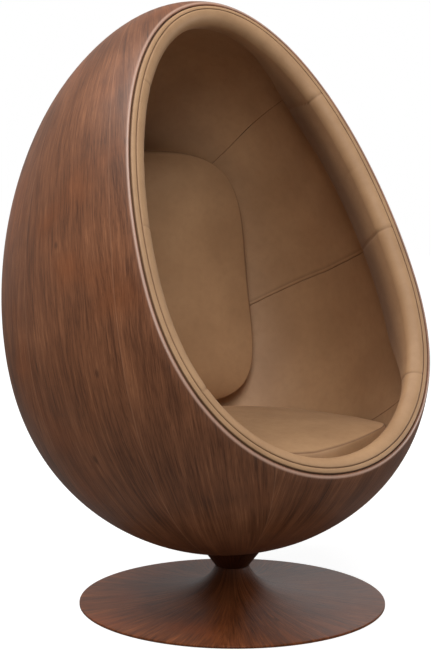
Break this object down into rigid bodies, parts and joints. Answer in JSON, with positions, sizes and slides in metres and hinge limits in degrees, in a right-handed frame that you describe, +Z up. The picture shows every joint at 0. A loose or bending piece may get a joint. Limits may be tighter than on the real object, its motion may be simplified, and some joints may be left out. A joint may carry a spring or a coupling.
{
  "type": "swivel pod chair",
  "caption": "Egg-shaped swivel lounge chair: a walnut-veneered shell with a slanted open front, tan leather lining, padded edge roll, seat and back cushions, on a flared disc base.",
  "frame": {"origin": "centre of the round base, on the floor plane under its felt pad; the swivel axis passes through it", "axes": "+Z up along the swivel axis; the open front of the pod faces -Y at rest; +X is to the right of someone who faces the open front"},
  "size_m": [0.889, 0.8896, 1.3008],
  "materials": {
    "walnut_veneer": "satin",
    "tan_leather": "satin",
    "plywood": "matte",
    "steel": "satin",
    "bearing_steel": "polished",
    "zinc_plated_steel": "satin",
    "bronze": "satin",
    "felt": "matte"
  },
  "bodies": {
    "base": {"floor_pad": "felt", "base_plate": "steel", "base_cover": "walnut_veneer", "post_flange": "steel", "flange_screws": "zinc_plated_steel", "support_post": "steel", "lower_bush": "bronze", "upper_bush": "bronze", "lower_race": "bearing_steel", "bearing_cage": "bronze", "bearing_balls": "bearing_steel"},
    "pod": {"upper_race": "bearing_steel", "spindle": "steel", "spindle_clip": "steel", "mounting_plate": "steel", "neck_collar": "walnut_veneer", "shell": "walnut_veneer", "packing_block": "plywood", "inner_plate": "steel", "mounting_bolts": "zinc_plated_steel", "bolt_washers": "zinc_plated_steel", "tack_ring": "plywood", "edge_band": "tan_leather", "edge_roll": "tan_leather", "head_lining": "tan_leather", "upper_lining_left": "tan_leather", "upper_lining_right": "tan_leather", "lower_lining_left": "tan_leather", "lower_lining_right": "tan_leather", "well_lining": "tan_leather", "deck_ring": "plywood", "seat_deck": "plywood", "deck_screws": "zinc_plated_steel", "seat_cushion": "tan_leather", "back_cushion": "tan_leather"}
  },
  "joints": [
    {"name": "swivel", "type": "hinge", "parent": "base", "child": "pod", "pos_m": [0, 0, 0], "axis": [0, 0, 1], "continuous": true}
  ]
}
